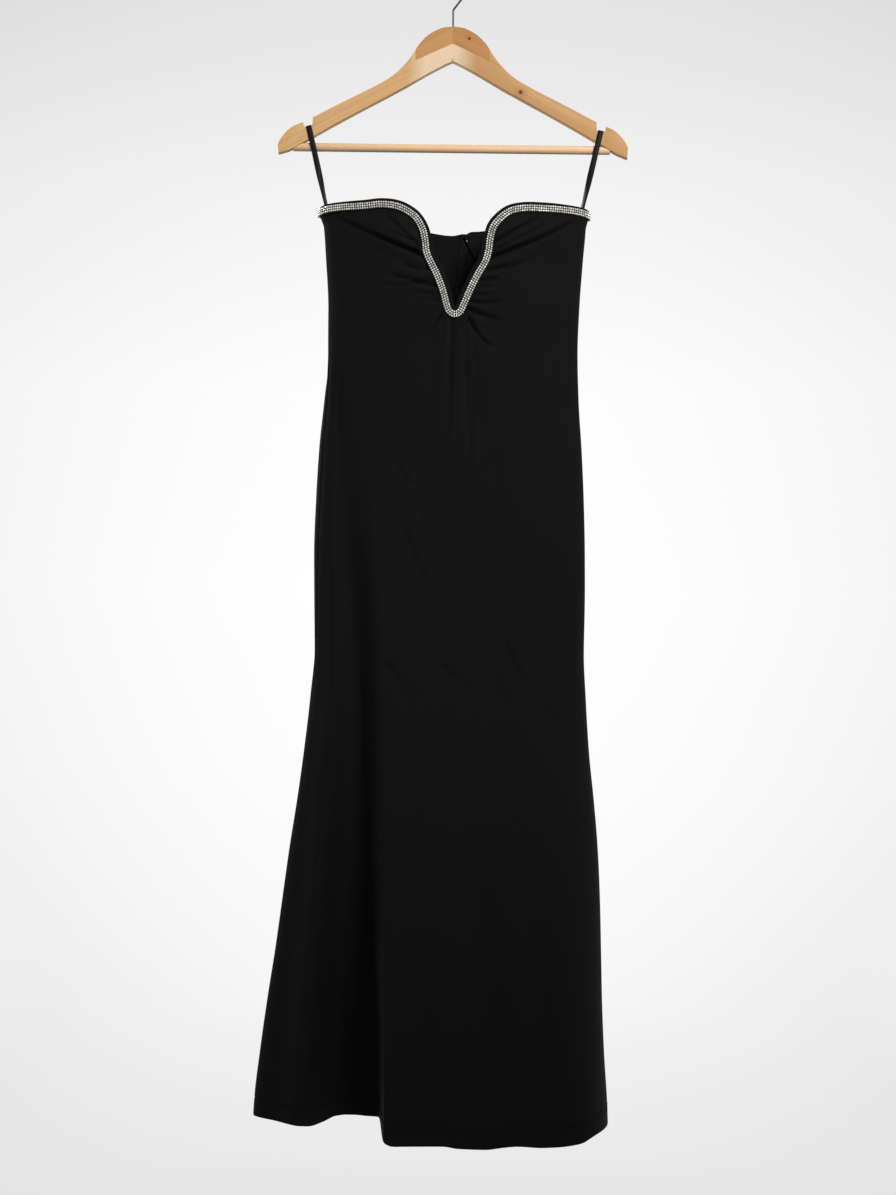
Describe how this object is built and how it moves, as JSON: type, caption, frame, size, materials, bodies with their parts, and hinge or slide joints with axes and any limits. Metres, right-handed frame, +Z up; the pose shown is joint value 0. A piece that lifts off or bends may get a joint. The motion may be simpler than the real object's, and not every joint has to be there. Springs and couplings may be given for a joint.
{
  "type": "fitted dress on a hanger",
  "caption": "Strapless floor-length fitted dress with a plunging stone-trimmed V neck and a flared hem, hung by ribbon loops from a wooden hanger.",
  "frame": {"origin": "top of the inside of the hanger's hook, where the rail carries it", "axes": "+Z up, -Y towards the front of the dress, +X towards the right of someone facing the front"},
  "size_m": [0.4627, 0.207, 1.4776],
  "materials": {
    "jersey": "matte black stretch jersey with a faint sheen",
    "stones": "three rows of clear faceted stones set in silver cups on black net",
    "tape": "woven black zip tape",
    "enamel": "black enamelled metal",
    "satin": "narrow black satin ribbon",
    "beech": "varnished pale beech",
    "pale_beech": "thinly varnished round beech bar",
    "steel": "plated steel wire"
  },
  "bodies": {
    "garment": {"front_panel": "jersey", "back_left": "jersey", "back_right": "jersey", "stone_trim": "stones", "zip_tape": "tape", "zip_slider": "enamel", "loop_left": "satin", "loop_right": "satin", "hanger_arm_left": "beech", "hanger_arm_right": "beech", "hanger_bar": "pale_beech", "hanger_hook": "steel"},
    "pull_tab": {"zip_pull": "enamel"}
  },
  "joints": [
    {"name": "zip_pull_swing", "type": "hinge", "parent": "garment", "child": "pull_tab", "pos_m": [0.02396, 0.04285, -0.34031], "axis": [1, 0, 0], "range_deg": [0, 150]}
  ]
}
